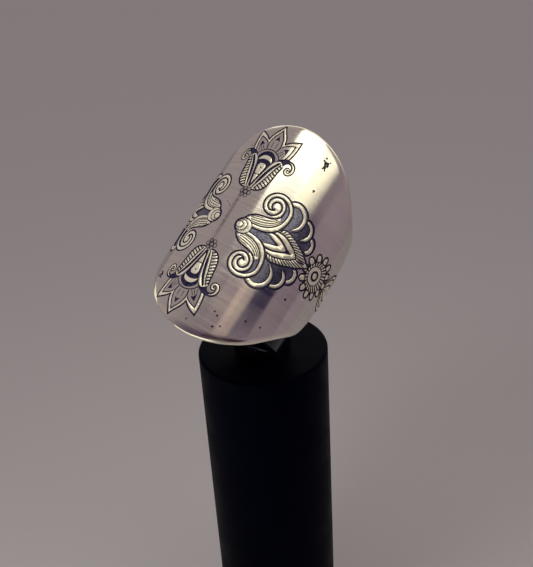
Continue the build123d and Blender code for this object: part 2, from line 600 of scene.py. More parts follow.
@dataclass(frozen=True)
class Wear:
    """Casting pits and nicks that the plate shows in the photo, each an irregular hole.

    A pit is given by its u, v and radius, and a nick by its two ends.
    """

    pits: tuple[tuple[float, float, float], ...] = (
        (7.6, 8.3, 0.2), (-3.6, 10.5, 0.12), (12.0, -5.0, 0.18), (11.0, -9.7, 0.15), (8.9, -10.1, 0.17),
        (5.1, -11.1, 0.14), (5.6, -11.4, 0.16), (6.6, -12.3, 0.15), (5.8, -12.8, 0.17), (2.6, -13.6, 0.12),
        (6.85, 12.85, 0.16), (6.72, 12.4, 0.15), (7.0, 12.25, 0.24), (7.3, 12.3, 0.26), (7.12, 11.95, 0.22),
        (7.42, 11.95, 0.2), (7.2, 11.62, 0.24), (7.0, 11.4, 0.15), (7.38, 11.3, 0.13), (7.55, 12.6, 0.11),
        (-5.15, -9.8, 0.3), (-5.5, -10.1, 0.24), (-5.0, -10.25, 0.2), (-5.35, -9.45, 0.18),
        (-3.9, 12.7, 0.1),
    )
    nicks: tuple[tuple[Point, Point], ...] = (((-1.7, 2.1), (-1.35, 1.93)), ((-1.15, 1.8), (-0.75, 1.5)))
    unevenness: Point = (0.6, 1.25)
    seed: int = 11

    def sketch(self) -> Sketch:
        """Draws pits as blobs with uneven corners, and nicks as short tapered strokes.

        Returns:
            The drawing.
        """
        pen = Sketch()
        chance = np.random.default_rng(self.seed)
        for u, v, radius in self.pits:
            corners = oval((0.0, 0.0), (radius, radius))
            pen.area(corners * chance.uniform(*self.unevenness, (len(corners), 1)) + (u, v), Ink.BLACK)
        for start, end in self.nicks:
            pen.line(through(start, end), 0.06, 0.1, 0.05)
        return pen


def ornament() -> Sketch:
    """Draws a lotus above and below, a fan, daisy and shank leaf on each side, and the wear.

    The side behind the left limb is drawn smaller where the shank is narrow.

    Returns:
        The whole drawing.
    """
    pen = Sketch()
    lotus, fan = Lotus().sketch(), Fan().sketch()
    pen.add(lotus)
    pen.add(lotus, (0.0, 0.1), (1, -1))
    pen.add(ShankLeaf().sketch(), (17.0, -0.2))
    pen.add(Daisy().sketch(), (14.2, -0.2))
    pen.add(fan, (0.0, -0.1))
    pen.add(ShankLeaf().sketch(), (-16.2, -0.2), (-1, 0.42))
    pen.add(Daisy().sketch(), (-13.9, -0.2), (-0.72, 0.72))
    pen.add(fan, (0.0, -0.2), (-1, 1))
    pen.add(Wear().sketch())
    return pen


@dataclass(frozen=True)
class RingForm:
    """The ring's sizes in millimetres and degrees, as its solid has them, and where it is held.

    A point of the ring is given by u, the distance round its outer face from the drawing's middle
    line, v along the finger, and r, the distance from the finger's axis.
    """

    # The ring's own sizes, and the drawing's turn from the plate's middle
    bore_radius: float = 9.2
    outer_radius: float = 10.4
    plate_half: float = 15.1
    shank_half: float = 2.6
    dome_width: float = 1.1
    dome_drop: float = 0.3
    drawing_turn: float = 16.5
    # Half the width at even steps from the plate's middle: 1 is the plate's, 0 the shank's
    section_step: float = 6.0
    edge_shares: tuple[float, ...] = (
        1.000, 0.996, 0.981, 0.960, 0.931, 0.894,
        0.849, 0.798, 0.735, 0.665, 0.599, 0.538,
        0.484, 0.437, 0.381, 0.255, 0.125, 0.020,
    )
    # How the ring is held over the post by its clip
    finger_azimuth: float = 45.2
    finger_tilt: float = 36.4
    plate_turn: float = 23.0
    shift: float = 0.35
    post_height: float = 60.0
    clip_lift: float = 1.1
    clip_radius: float = 9.05
    clip_front: float = 10.5

    @property
    def centre(self) -> Array:
        """The ring's middle, held so high that the clip's front end clears the post by its lift.

        Returns:
            Its place in millimetres.
        """
        lean = np.radians(self.finger_tilt)
        drop = self.clip_radius * np.cos(lean) + self.clip_front * np.sin(lean)
        return np.array([self.shift, 0.0, self.post_height + self.clip_lift + drop])

    @property
    def half_round(self) -> float:
        """Half the way round the outer face: the sheet runs from minus this to plus this."""
        return np.pi * self.outer_radius

    @property
    def axes(self) -> Array:
        """The ring's own directions.

        Returns:
            Rows: out through the drawing's middle line, round the finger, and along the finger.
        """
        around, lean = np.radians((self.finger_azimuth, self.finger_tilt))
        finger = np.array([np.cos(lean) * np.cos(around), np.cos(lean) * np.sin(around), np.sin(lean)])
        up = np.array([-np.sin(lean) * np.cos(around), -np.sin(lean) * np.sin(around), np.cos(lean)])
        side = np.cross(finger, up)
        turn = np.radians(self.plate_turn - self.drawing_turn)
        out = up * np.cos(turn) + side * np.sin(turn)
        return np.array([out, np.cross(finger, out), finger])

    def half_width(self, u: Array) -> Array:
        """Half the ring's width: a smooth curve through the table of shares.

        Args:
            u: distance round the ring.

        Returns:
            Half the width at each.
        """
        steps = len(self.edge_shares)
        half_way = round(180 / self.section_step)
        number = np.abs(np.arange(-half_way - 1, half_way + 2))
        shares = np.where(number < steps, np.array(self.edge_shares)[np.minimum(number, steps - 1)], 0.0)
        theta = (np.degrees(u / self.outer_radius) - self.drawing_turn + 180) % 360 - 180
        knots = np.arange(-half_way - 1, half_way + 2) * self.section_step
        share = hermite(knots, shares[:, None], theta)[:, 0]
        return self.shank_half + share * (self.plate_half - self.shank_half)

    def face_radius(self, u: Array, v: Array) -> Array:
        """The outer face: round, and falling away as an arc along the last stretch to each edge.

        Args:
            u: distance round the ring.
            v: distance along the finger.

        Returns:
            The face's distance from the finger's axis at each.
        """
        arc = (self.dome_drop**2 + self.dome_width**2) / (2 * self.dome_drop)
        over = np.clip(np.abs(v) - (self.half_width(u) - self.dome_width), 0, arc * 0.99)
        return self.outer_radius - arc + np.sqrt(arc**2 - over**2)

    def place(self, u: Array, v: Array, r: Array) -> Array:
        """Bends sheet points round the finger.

        Args:
            u: distance round the ring.
            v: distance along the finger.
            r: distance from the finger's axis.

        Returns:
            Where the points are held, in metres.
        """
        turn = u / self.outer_radius
        local = np.stack([r * np.cos(turn), r * np.sin(turn), v], axis=-1)
        return (local @ self.axes + self.centre) * MM

    def face_normal(self, u: Array, v: Array) -> Array:
        """The outer face's direction, from the difference between points a little to each side.

        Args:
            u: distance round the ring.
            v: distance along the finger.

        Returns:
            The direction at each, of length one.
        """
        step = 0.01
        sides = [
            self.place(u + du, v + dv, self.face_radius(u + du, v + dv))
            for du, dv in ((step, 0), (-step, 0), (0, step), (0, -step))
        ]
        return unit(np.cross(sides[0] - sides[1], sides[2] - sides[3]))


def unit(vectors: Array) -> Array:
    """Vectors of length one in the same directions."""
    return vectors / np.maximum(np.linalg.norm(vectors, axis=-1, keepdims=True), 1e-12)


def added(name: str, data: bpy.types.ID) -> bpy.types.Object:
    """Makes an object and links it to the scene.

    Args:
        name: the object's name.
        data: its mesh, light or camera.

    Returns:
        The object, at the origin.
    """
    made = bpy.data.objects.new(name, data)
    bpy.context.scene.collection.objects.link(made)
    return made


@dataclass
class Skin:
    """A mesh in the making: faces with their corners' places on the sheet and their directions."""

    points: Array
    faces: list[Array] = field(default_factory=list)
    sheet: list[Array] = field(default_factory=list)
    normals: list[Array] = field(default_factory=list)
    etched: list[Array] = field(default_factory=list)
    raised: list[Array] = field(default_factory=list)

    def add(self, faces: Array, sheet: Array, normals: Array, etched: Array, raised: Array) -> None:
        """Adds faces of one kind.

        Args:
            faces: (n, k) numbers of points, k corners each.
            sheet: (n, k, 2) u and v of each corner.
            normals: (n, k, 3) direction of each corner.
            etched: (n,) 1 where the face is blackened, less where it is slate, 0 elsewhere.
            raised: (n,) 1 where the face is part of a motif.
        """
        self.faces.append(faces)
        self.sheet.append(sheet)
        self.normals.append(normals)
        self.etched.append(etched)
        self.raised.append(raised)

    def build(self, name: str, rim: Array) -> bpy.types.Object:
        """Makes the object, with the sheet as its UV map and the marks as attributes.

        Args:
            name: the piece's name.
            rim: (n,) how near each point is to the ring's edge, 0 to 1.

        Returns:
            The new object, at the origin.
        """
        corners = np.concatenate([faces.ravel() for faces in self.faces])
        sizes = np.concatenate([np.full(len(faces), faces.shape[1]) for faces in self.faces])
        used, corners = np.unique(corners, return_inverse=True)
        mesh = bpy.data.meshes.new(name)
        mesh.vertices.add(len(used))
        mesh.vertices.foreach_set("co", self.points[used].ravel())
        mesh.loops.add(len(corners))
        mesh.loops.foreach_set("vertex_index", corners)
        mesh.polygons.add(len(sizes))
        mesh.polygons.foreach_set("loop_start", np.concatenate([[0], np.cumsum(sizes)[:-1]]))
        mesh.polygons.foreach_set("use_smooth", np.ones(len(sizes), bool))
        mesh.update(calc_edges=True)
        layer = mesh.uv_layers.new(name="Sheet")
        layer.uv.foreach_set("vector", np.concatenate([uv.reshape(-1, 2) for uv in self.sheet]).ravel())
        for title, values in (("etched", self.etched), ("raised", self.raised)):
            attribute = mesh.attributes.new(title, "FLOAT", "FACE")
            attribute.data.foreach_set("value", np.concatenate(values).astype(float))
        attribute = mesh.attributes.new("rim", "FLOAT", "POINT")
        attribute.data.foreach_set("value", rim[used])
        mesh.normals_split_custom_set(np.concatenate([n.reshape(-1, 3) for n in self.normals]))
        return added(name, mesh)


@dataclass(frozen=True)
class SaddleRing:
    """The ring with its engraving: a cut sheet for the face, and one strip for rims and bore."""

    form: RingForm = RingForm()
    # How deep the grooves are, and how much the motifs' edges lean over into them
    depth: float = 0.14
    shoulder: float = 0.5
    # How the sheet is cut: stations round it, rows along it, and closer rows at its two edges
    stations: int = 240
    row: float = 0.7
    edge_rows: tuple[float, ...] = (0.0, 0.1, 0.22, 0.36, 0.52, 0.7, 0.9, 1.12)
    row_gap: float = 0.3
    seam_points: int = 7
    # Loose points this near to a mark are left out, and points this near to each other are one
    clear: float = 0.1
    merge: float = 1e-4
    # The rim's and the bore's rounded edges, and the rows across the bore
    rim_round: float = 0.26
    lip_round: float = 0.2
    bore_round: float = 0.22
    bend_points: int = 5
    bore_rows: int = 22
    rim_fade: float = 1.0

    def outline(self) -> tuple[Array, Array]:
        """The stations round the sheet and the sheet's half width there, short of the rounded rim."""
        u = np.linspace(-self.form.half_round, self.form.half_round, self.stations + 1)
        return u, self.form.half_width(u) - self.rim_round

    def triangles(self, drawing: Sketch) -> tuple[Array, Array, Array, Array]:
        """Cuts the flat sheet into triangles whose sides follow every mark of the drawing.

        Args:
            drawing: the marks.

        Returns:
            Points (n, 2), triangles (m, 3), the (2, stations + 1) points of the two outlines, and the
            (2, seam_points) points of the two ends, which meet behind the finger.
        """
        u, half = self.outline()
        count = self.stations + 1
        upper, lower = np.column_stack([u, half]), np.column_stack([u, -half])
        seam_rows = np.linspace(-half[0], half[0], self.seam_points + 2)[1:-1]
        seams = [np.column_stack([np.full(self.seam_points, side), seam_rows]) for side in (u[0], u[-1])]
        marks = np.concatenate([outline for outline, _ in drawing.marks])
        fixed = np.concatenate([upper, lower, *seams, marks])

        inside = [
            np.column_stack([u, side * (half - drop)])[1:-1]
            for drop in self.edge_rows[1:]
            for side in (1, -1)
        ]
        rows = np.arange(self.row / 2, self.form.plate_half, self.row)
        grid_u, grid_v = np.meshgrid(u[1:-1], np.concatenate([-rows[::-1], rows]), indexing="ij")
        deep = np.abs(grid_v) < half[1:-1, None] - self.edge_rows[-1] - self.row_gap
        loose = np.concatenate([*inside, np.column_stack([grid_u[deep], grid_v[deep]])])
        free = ~np.isin(self.cell(loose), self.cell(marks))
        points = np.concatenate([fixed, loose[free]])

        sides = [self.chain(np.arange(count)), self.chain(count + np.arange(count))]
        seam = 2 * count + np.arange(2 * self.seam_points).reshape(2, self.seam_points)
        for column, end in zip(seam, (0, count - 1)):
            sides.append(self.chain(np.concatenate([[count + end], column, [end]])))
        first = 2 * count + seam.size
        for outline, _ in drawing.marks:
            loop = first + np.arange(len(outline))
            sides.append(self.chain(np.append(loop, loop[0])))
            first += len(outline)
        flat = [Vector(point) for point in points.tolist()]
        cut = delaunay_2d_cdt(flat, np.concatenate(sides).tolist(), [], 0, self.merge, True)
        spots = np.array([tuple(point) for point in cut[0]])
        corners = np.array(cut[2])
        edges = [spots[corners[:, k]] for k in range(3)]
        turned = np.cross(edges[1] - edges[0], edges[2] - edges[0]) < 0
        corners[turned] = corners[turned][:, ::-1]
        middle = spots[corners].mean(axis=1)
        corners = corners[np.abs(middle[:, 1]) < np.interp(middle[:, 0], u, half) + SAME_PLACE]
        origins = cut[3]
        place = np.zeros(len(points), int)
        spot = np.repeat(np.arange(len(origins)), [len(origin) for origin in origins])
        place[np.concatenate(origins).astype(int)] = spot
        return spots, corners, place[: 2 * count].reshape(2, count), place[seam]

    def cell(self, points: Array) -> Array:
        """One number for each point that says in which small square of the sheet it is."""
        across, up = np.round(points / self.clear).astype(int).T
        return across * 100000 + up

    @staticmethod
    def chain(numbers: Array) -> Array:
        """The (n - 1, 2) sides between neighbours in a row of point numbers."""
        return np.column_stack([numbers[:-1], numbers[1:]])

    @staticmethod
    def painted(spots: Array, drawing: Sketch) -> Array:
        """What the last mark over each spot stands for.

        A spot is inside an outline when the outline's signed crossings of a line from it don't cancel.

        Args:
            spots: (n, 2) places on the sheet.
            drawing: the marks.

        Returns:
            (n,) the mark's Ink value, or 0 for the bare plate.
        """
        ink = np.zeros(len(spots), int)
        for outline, kind in drawing.marks:
            low, high = outline.min(axis=0), outline.max(axis=0)
            near = np.flatnonzero(np.all((spots > low) & (spots < high), axis=1))
            start, end = outline, np.roll(outline, -1, axis=0)
            spot = spots[near][:, None]
            rises = (start[:, 1] <= spot[..., 1]) & (end[:, 1] > spot[..., 1])
            falls = (start[:, 1] > spot[..., 1]) & (end[:, 1] <= spot[..., 1])
            step = end - start
            side = step[:, 0] * (spot[..., 1] - start[:, 1]) - step[:, 1] * (spot[..., 0] - start[:, 0])
            winding = np.sum(rises & (side > 0), axis=1) - np.sum(falls & (side < 0), axis=1)
            ink[near[winding != 0]] = kind.value
        return ink

    def build(self, drawing: Sketch) -> bpy.types.Object:
        """Bends the cut sheet round the finger, sinks the black marks and closes the ring behind it.

        Args:
            drawing: the marks.

        Returns:
            The ring.
        """
        form = self.form
        spots, corners, rims, seams = self.triangles(drawing)
        ink = self.painted(spots[corners].mean(axis=1), drawing)
        on_rim = np.isin(corners, rims).any(axis=1)
        sunk = np.isin(ink, (Ink.BLACK.value, Ink.SLATE.value)) & ~on_rim
        dark = np.where(ink == Ink.SLATE.value, SLATE_MARK, 1.0) * sunk
        weld = np.arange(len(spots))
        weld[rims[:, -1]] = rims[:, 0]
        weld[seams[1]] = seams[0]

        u, v = spots.T
        radius = form.face_radius(u, v)
        strip, strip_sheet, strip_normals = self.strip()
        points = np.concatenate([
            form.place(u, v, radius), form.place(u, v, radius - self.depth), strip[:, 1:-1].reshape(-1, 3)
        ])
        normals = form.face_normal(u, v)
        skin = Skin(points)
        floor = len(spots)
        leaning = np.zeros_like(points[:floor])
        quads, sheet, flat = self.walls(corners[sunk], weld, spots, points)
        np.add.at(leaning, quads[:, 2:], flat[:, None])
        rounded = unit(normals + self.shoulder * unit(leaning))
        raised = (ink == Ink.SILVER.value) & ~sunk
        kinds = ((raised, 0, rounded), (~sunk & ~raised, 0, normals), (sunk, floor, normals))
        for chosen, lift, turned in kinds:
            part = corners[chosen]
            skin.add(weld[part] + lift, spots[part], turned[weld[part]], dark[chosen], raised[chosen] * 1.0)
        same = np.ones(len(quads))
        skin.add(quads, sheet, np.repeat(flat[:, None], 4, axis=1), same, same * 0)
        self.close(skin, strip_sheet, strip_normals, weld[rims], 2 * len(spots))

        edge = np.clip(1 - (form.half_width(u) - np.abs(v)) / form.dome_width, 0, 1)
        half = form.half_width(strip_sheet[:, 0, 0])[:, None]
        ends = np.clip(1 - (half - np.abs(strip_sheet[:, 1:-1, 1])) / self.rim_fade, 0, 1)
        return skin.build("engraved_ring", np.concatenate([edge, edge, ends.ravel()]))

    @staticmethod
    def walls(sunk: Array, weld: Array, spots: Array, points: Array) -> tuple[Array, Array, Array]:
        """The upright walls of the grooves, facing into them.

        A side of a sunk triangle has a wall if no other sunk triangle has the same side reversed.

        Args:
            sunk: (n, 3) the sunk triangles.
            weld: the point that each spot shares.
            spots: (m, 2) places on the sheet.
            points: where the spots are held, followed by their copies on the grooves' floors.

        Returns:
            Four-sided faces (k, 4), floor first, their sheet places (k, 4, 2) and directions (k, 3).
        """
        start, end = sunk.T.ravel(), np.roll(sunk, -1, axis=1).T.ravel()
        size = len(spots)
        lone = ~np.isin(weld[start] * size + weld[end], weld[end] * size + weld[start])
        start, end = start[lone], end[lone]
        quads = np.column_stack([weld[end] + size, weld[start] + size, weld[start], weld[end]])
        corner = points[quads]
        flat = unit(np.cross(corner[:, 1] - corner[:, 0], corner[:, 3] - corner[:, 0]))
        return quads, spots[np.column_stack([end, start, start, end])], flat

    def strip(self) -> tuple[Array, Array, Array]:
        """The surface from one edge of the sheet over the rim, through the bore and back to the other.

        The rim's corners are short parabolas between the straight stretches beside them.

        Returns:
            Points (stations, rows, 3), sheet places (stations, rows, 2) and directions, row by row.
        """
        form = self.form
        u, _ = self.outline()
        u = u[:-1]
        share = np.linspace(0, 1, self.bend_points)
        face = form.face_radius(u[:1], form.half_width(u[:1]) - self.rim_round)[0]
        start = np.array([self.rim_round, face])
        lip = np.array([0.0, form.outer_radius - form.dome_drop])
        foot = np.array([0.0, form.bore_radius])
        bends = (
            (start, lip, lip - (0, self.lip_round)),
            (foot + (0, self.bore_round), foot, foot + (self.bore_round, 0)),
        )
        rim = np.concatenate([
            (1 - share)[:, None] ** 2 * a + 2 * ((1 - share) * share)[:, None] * b + share[:, None] ** 2 * c
            for a, b, c in bends
        ])
        half = form.half_width(u)[:, None]
        across = np.linspace(1, -1, self.bore_rows)[1:-1]
        v = np.concatenate([half - rim[:, 0], (half - rim[-1, 0]) * across, rim[::-1, 0] - half], axis=1)
        r = np.concatenate([rim[:, 1], np.full(len(across), form.bore_radius), rim[::-1, 1]])
        points = form.place(u[:, None], v, r[None])
        behind, ahead = np.roll(points, 1, axis=0), np.roll(points, -1, axis=0)
        down = np.gradient(points, axis=1)
        normals = unit(np.cross(ahead - behind, down))
        for row, side in ((0, 1), (-1, -1)):
            normals[:, row] = form.face_normal(u, side * (half[:, 0] - self.rim_round))
        beyond = half - self.rim_round + travelled(rim)
        sheet_v = np.concatenate([beyond, (half - rim[-1, 0]) * across, -beyond[:, ::-1]], axis=1)
        sheet = np.stack([np.broadcast_to(u[:, None], sheet_v.shape), sheet_v], axis=-1)
        return points, sheet, normals

    def close(self, skin: Skin, sheet: Array, normals: Array, rims: Array, first: int) -> None:
        """Adds the strip's four-sided faces, sewn to the sheet's outlines.

        Args:
            skin: the mesh so far.
            sheet: (stations, rows, 2) the strip's sheet places.
            normals: (stations, rows, 3) its directions.
            rims: (2, stations + 1) points of the sheet's upper and lower outline.
            first: number of the strip's first own point.
        """
        count, rows = sheet.shape[:2]
        own = first + np.arange(count * (rows - 2)).reshape(count, rows - 2)
        number = np.column_stack([rims[0, :-1], own, rims[1, :-1]])
        station = np.arange(count)
        after = (station + 1) % count
        i, j = np.meshgrid(station, np.arange(rows - 1), indexing="ij")
        near, far = i.ravel(), after[i].ravel()
        low, high = j.ravel(), j.ravel() + 1
        turns = ((near, low), (far, low), (far, high), (near, high))
        faces = np.stack([number[a, b] for a, b in turns], axis=1)
        places = np.stack([sheet[a, b] for a, b in turns], axis=1)
        wrapped = (far == 0)[:, None] & np.array([False, True, True, False])
        places[..., 0] += wrapped * 2 * self.form.half_round
        directions = np.stack([normals[a, b] for a, b in turns], axis=1)
        none = np.zeros(len(faces))
        skin.add(faces, places, directions, none, none)


class Graph:
    """Adds nodes to one node tree: a short way to make a node, set its inputs and link it."""

    def __init__(self, tree: bpy.types.NodeTree) -> None:
        """Keeps the tree."""
        self.tree = tree

    def node(self, kind: str, inputs: Optional[dict] = None, **settings: object) -> bpy.types.Node:
        """Makes a node.

        Args:
            kind: the node's type without its ShaderNode prefix.
            inputs: for each input's name or number, an output to link or a value to set.
            settings: the node's own properties.

        Returns:
            The node.
        """
        made = self.tree.nodes.new("ShaderNode" + kind)
        for name, value in settings.items():
            setattr(made, name, value)
        self.feed(made, inputs or {})
        return made

    def feed(self, node: bpy.types.Node, inputs: dict) -> None:
        """Fills a node's inputs.

        Args:
            node: the node.
            inputs: for each input's name or number, an output to link or a value to set.
        """
        for name, value in inputs.items():
            if isinstance(value, bpy.types.NodeSocket):
                self.tree.links.new(value, node.inputs[name])
            else:
                node.inputs[name].default_value = value

    def maths(self, operation: str, *values: object) -> bpy.types.NodeSocket:
        """A Math node's output for an operation on outputs or numbers."""
        return self.node("Math", dict(enumerate(values)), operation=operation).outputs[0]

    def mix(self, share: object, first: object, second: object) -> bpy.types.NodeSocket:
        """A colour between two colours."""
        return self.node("Mix", {0: share, 6: first, 7: second}, data_type="RGBA").outputs[2]

    def blend(self, share: object, first: object, second: object) -> bpy.types.NodeSocket:
        """A number between two numbers."""
        return self.node("Mix", {0: share, 2: first, 3: second}).outputs[0]

    def spread(self, value: object, low: float, high: float) -> bpy.types.NodeSocket:
        """Maps a range of numbers to 0 to 1, smoothly and held at the ends."""
        return self.node("MapRange", {0: value, 1: low, 2: high}, interpolation_type="SMOOTHSTEP").outputs[0]

    def noise(self, place: bpy.types.NodeSocket, scale: float, detail: float) -> bpy.types.NodeSocket:
        """Noise from 0 to 1 at a place, with so many grains to its unit and so many finer layers."""
        return self.node("TexNoise", {"Vector": place, "Scale": scale, "Detail": detail}).outputs[0]


@dataclass(frozen=True)
class SharedEffect:
    """A node group that is made once for all materials: from a place it works out numbers, 0 to 1."""

    name: str

    def outputs(self, graph: Graph, place: bpy.types.NodeSocket) -> dict[str, bpy.types.NodeSocket]:
        """The group's outputs by name, which each effect works out in its own way."""
        raise NotImplementedError

    def group(self) -> bpy.types.NodeTree:
        """Makes the group, or finds it where it is made already.

        Returns:
            The group.
        """
        if self.name in bpy.data.node_groups:
            return bpy.data.node_groups[self.name]
        tree = bpy.data.node_groups.new(self.name, "ShaderNodeTree")
        tree.interface.new_socket("Place", in_out="INPUT", socket_type="NodeSocketVector")
        graph = Graph(tree)
        made = self.outputs(graph, tree.nodes.new("NodeGroupInput").outputs["Place"])
        for title in made:
            tree.interface.new_socket(title, in_out="OUTPUT", socket_type="NodeSocketFloat")
        graph.feed(tree.nodes.new("NodeGroupOutput"), made)
        return tree

    def put(self, graph: Graph, place: bpy.types.NodeSocket) -> bpy.types.NodeOutputs:
        """Puts the group into a material and returns its outputs at a place."""
        return graph.node("Group", {"Place": place}, node_tree=self.group()).outputs


@dataclass(frozen=True)
class BrushedStreaks(SharedEffect):
    """Fine brush marks that run round the finger, from a place on the sheet in millimetres."""

    name: str = "brushed_streaks"
    along: float = 0.22
    across: float = 9.0
    broad_share: float = 0.24

    def outputs(self, graph: Graph, place: bpy.types.NodeSocket) -> dict[str, bpy.types.NodeSocket]:
        """Fine and broad noise, both stretched along u.

        Args:
            graph: where the nodes are made.
            place: the place on the sheet.

        Returns:
            Height from the fine noise, and Streaks from the broad one.
        """
        fine, broad = [
            graph.node("Mapping", {"Vector": place, "Scale": (self.along * share, self.across * share, 1.0)})
            for share in (1.0, self.broad_share)
        ]
        return {
            "Height": graph.spread(graph.noise(fine.outputs[0], 1.0, 3.0), 0.3, 0.7),
            "Streaks": graph.spread(graph.noise(broad.outputs[0], 1.0, 2.0), 0.32, 0.68),
        }


@dataclass(frozen=True)
class Handling(SharedEffect):
    """Soft uneven smudges of handling, from a place in metres."""

    name: str = "handling"
    size: float = 0.004

    def outputs(self, graph: Graph, place: bpy.types.NodeSocket) -> dict[str, bpy.types.NodeSocket]:
        """Smudge, from one noise that is bent by itself."""
        inputs = {"Vector": place, "Scale": 1 / self.size, "Detail": 4.0, "Distortion": 0.6}
        return {"Smudge": graph.spread(graph.node("TexNoise", inputs).outputs[0], 0.35, 0.7)}


def shaded(name: str) -> tuple[bpy.types.Material, Graph, bpy.types.Node]:
    """Starts a material.

    Args:
        name: the material's name.

    Returns:
        The material, its node graph and its Principled shader.
    """
    made = bpy.data.materials.new(name)
    made.use_nodes = True
    return made, Graph(made.node_tree), made.node_tree.nodes["Principled BSDF"]


@dataclass(frozen=True)
class SilverFinish:
    """Brushed silver with blackened grooves and slate hollows; its motifs and rims get a painted highlight
    in a brighter cream colour.
    """

    name: str = "silver"
    plate: Colour = (0.74, 0.70, 0.67, 1)
    # Painted highlight: a brighter cream silver for the motifs and the rims, standing in for light caught by
    # the relief and the rounded edge; the broad brush streaks also lean towards it as their own lighter tone
    motif: Colour = (0.97, 0.93, 0.77, 1)
    black: Colour = (0.006, 0.004, 0.026, 1)
    worn_black: Colour = (0.03, 0.026, 0.085, 1)
    slate: Colour = (0.25, 0.25, 0.34, 1)
    dark_slate: Colour = (0.1, 0.1, 0.16, 1)
    slate_mark: float = SLATE_MARK
    grain: float = 0.00022
    roughness: float = 0.15
    rim_roughness: float = 0.1
    motif_roughness: float = 0.24
    motif_metal: float = 0.65
    slate_roughness: float = 0.32
    black_roughness: float = 0.55
    streak_brightness: float = 0.35
    unevenness: float = 0.05
    anisotropy: float = 0.72
    quarter_turn: float = 0.25
    brush_depth: float = 0.0000022
    brush_strength: float = 0.6

    def material(self) -> bpy.types.Material:
        """Makes the material.

        Returns:
            It reads the Sheet map, object places and the attributes etched, raised and rim.
        """
        made, graph, shader = shaded(self.name)
        sheet = graph.node("UVMap", uv_map="Sheet").outputs[0]
        place = graph.node("TexCoord").outputs["Object"]
        etched, raised, rim = [
            graph.node("Attribute", attribute_name=title).outputs["Fac"]
            for title in ("etched", "raised", "rim")
        ]
        streaks = BrushedStreaks().put(graph, sheet)
        smudge = Handling().put(graph, place)["Smudge"]
        sunk = graph.spread(etched, 0.0, self.slate_mark)
        blackened = graph.spread(etched, self.slate_mark, 1.0)

        share = graph.maths("MULTIPLY", streaks["Streaks"], self.streak_brightness)
        metal = graph.mix(share, self.plate, self.motif)
        # Painted highlight: the raised motifs and the rounded rim are coloured the brighter cream silver;
        # the motifs' partly matt, rougher finish set below is their own
        metal = graph.mix(graph.maths("MAXIMUM", raised, rim), metal, self.motif)
        spots = graph.spread(graph.noise(place, 1 / self.grain, 2.0), 0.42, 0.7)
        black = graph.mix(spots, self.black, self.worn_black)
        slate = graph.mix(spots, self.slate, self.dark_slate)
        colour = graph.mix(sunk, metal, graph.mix(blackened, slate, black))

        rough = graph.blend(rim, self.roughness, self.rim_roughness)
        rough = graph.blend(raised, rough, self.motif_roughness)
        for uneven in (smudge, streaks["Streaks"]):
            rough = graph.maths("ADD", rough, graph.maths("MULTIPLY", uneven, self.unevenness))
        rough = graph.blend(sunk, rough, graph.blend(blackened, self.slate_roughness, self.black_roughness))

        metallic = graph.maths("SUBTRACT", graph.blend(raised, 1.0, self.motif_metal), blackened)
        brush = {"Height": streaks["Height"], "Strength": self.brush_strength, "Distance": self.brush_depth}
        graph.feed(shader, {
            "Base Color": colour,
            "Roughness": rough,
            "Metallic": metallic,
            "Normal": graph.node("Bump", brush).outputs[0],
            "Tangent": graph.node("Tangent", direction_type="UV_MAP", uv_map="Sheet").outputs[0],
            "Anisotropic": self.anisotropy,
            "Anisotropic Rotation": self.quarter_turn,
        })
        return made


@dataclass(frozen=True)
class PlasticFinish:
    """Dark plastic, from satin to glossy, with faint smudges."""

    name: str
    colour: Colour
    roughness: float
    smudges: float
    shine: float
    tint: Colour = (0.45, 0.6, 1.0, 1)

    def material(self) -> bpy.types.Material:
        """Makes the material.

        Returns:
            It reads object places.
        """
        made, graph, shader = shaded(self.name)
        smudge = Handling().put(graph, graph.node("TexCoord").outputs["Object"])["Smudge"]
        graph.feed(shader, {
            "Base Color": self.colour,
            "Roughness": graph.blend(smudge, self.roughness, self.roughness + self.smudges),
            "Specular IOR Level": self.shine,
            "Specular Tint": self.tint,
        })
        return made


@dataclass(frozen=True)
class PaperFinish:
    """Plain matt paper, for the floor and the cards."""

    name: str = "floor_paper"
    colour: Colour = (0.76, 0.76, 0.75, 1)

    def material(self) -> bpy.types.Material:
        """Makes the material.

        Returns:
            The material, without any shine.
        """
        made, graph, shader = shaded(self.name)
        graph.feed(shader, {"Base Color": self.colour, "Roughness": 0.9, "Specular IOR Level": 0.0})
        return made


def wear(piece: bpy.types.Object, material: bpy.types.Material) -> None:
    """Gives a piece one material in every slot.

    Args:
        piece: the piece.
        material: what it is made of.
    """
    for slot in piece.material_slots:
        slot.material = material
    if not piece.material_slots:
        piece.data.materials.append(material)


@dataclass(frozen=True)
class SilverRing:
    """The ring sub-assembly: its engraved body and its silver."""

    body: SaddleRing = SaddleRing()
    finish: SilverFinish = SilverFinish()

    def build(self) -> list[bpy.types.Object]:
        """Makes the ring in place of its solid and dresses it.

        Returns:
            The ring, alone in a list.
        """
        piece = self.body.build(ornament())
        wear(piece, self.finish.material())
        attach(piece, "root")
        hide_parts("saddle_ring")
        return [piece]


@dataclass(frozen=True)
class BlackStand:
    """The stand sub-assembly: the clip and the post, whose solids keep their shape."""

    clip: PlasticFinish = PlasticFinish("clip_plastic", (0.003, 0.003, 0.006, 1), 0.14, 0.08, 0.35)
    post: PlasticFinish = PlasticFinish("post_plastic", (0.0004, 0.0012, 0.006, 1), 0.38, 0.1, 0.015)

    def build(self) -> list[bpy.types.Object]:
        """Dresses both solids.

        Returns:
            The clip and the post.
        """
        pieces = [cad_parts["ring_clip"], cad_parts["display_post"]]
        for piece, finish in zip(pieces, (self.clip, self.post)):
            wear(piece, finish.material())
        return pieces


def facing(place: Spot, towards: Spot, spin: float) -> Matrix:
    """How a thing stands that faces a target.

    Args:
        place: where the thing is.
        towards: what its -Z points at.
        spin: how far it is then turned about that line, in degrees.

    Returns:
        The turn.
    """
    aim = (Vector(towards) - Vector(place)).to_track_quat("-Z", "Y").to_matrix()
    return aim @ Matrix.Rotation(np.radians(spin), 3, "Z")


